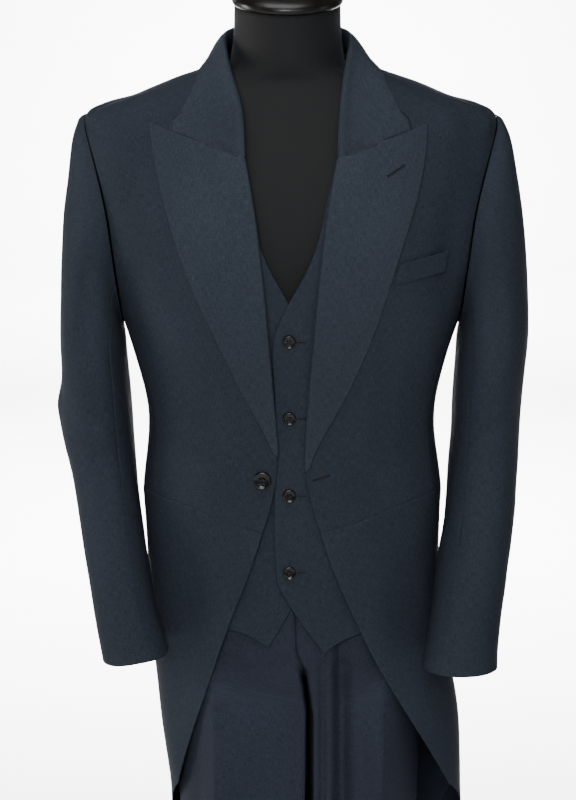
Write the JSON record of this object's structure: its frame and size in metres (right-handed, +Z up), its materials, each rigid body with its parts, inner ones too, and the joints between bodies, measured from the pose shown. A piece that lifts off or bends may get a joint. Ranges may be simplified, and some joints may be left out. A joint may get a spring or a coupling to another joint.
{
  "type": "tailcoat suit on a limbless dress form",
  "caption": "Dark evening tailcoat with peaked lapels, waistcoat and pressed trousers, worn by a plain neck-and-torso dress form on a pole and a round base.",
  "frame": {"origin": "on the floor, under the middle of the base", "axes": "+Z up; the wearer faces -Y and the wearer's left is +X"},
  "size_m": [0.5279, 0.36, 1.5853],
  "materials": {
    "wool": "fine worsted with a slight sheen",
    "facing": "fine worsted, pressed smooth",
    "button": "dull horn",
    "jersey": "smooth dark jersey",
    "lacquer": "dark gloss lacquer",
    "steel": "dark satin paint"
  },
  "bodies": {
    "root": {"coat_front_left": "wool", "coat_side_left": "wool", "coat_skirt_left": "wool", "coat_back_left": "wool", "coat_front_right": "wool", "coat_side_right": "wool", "coat_skirt_right": "wool", "coat_back_right": "wool", "lapel_left": "facing", "lapel_right": "facing", "collar": "facing", "breast_welt": "wool", "top_sleeve_left": "wool", "under_sleeve_left": "wool", "top_sleeve_right": "wool", "under_sleeve_right": "wool", "waistcoat_front_left": "wool", "waistcoat_front_right": "wool", "waistcoat_back": "wool", "trouser_front_left": "wool", "trouser_back_left": "wool", "trouser_front_right": "wool", "trouser_back_right": "wool", "waistband": "wool", "form_body": "jersey", "neck_cap": "lacquer", "flange": "steel", "pole": "steel", "base": "steel", "coat_button": "button", "back_button_left": "button", "back_button_right": "button", "waistcoat_button_1": "button", "waistcoat_button_2": "button", "waistcoat_button_3": "button", "waistcoat_button_4": "button", "cuff_button_left_1": "button", "cuff_button_left_2": "button", "cuff_button_left_3": "button", "cuff_button_left_4": "button", "cuff_button_right_1": "button", "cuff_button_right_2": "button", "cuff_button_right_3": "button", "cuff_button_right_4": "button"}
  },
  "joints": []
}
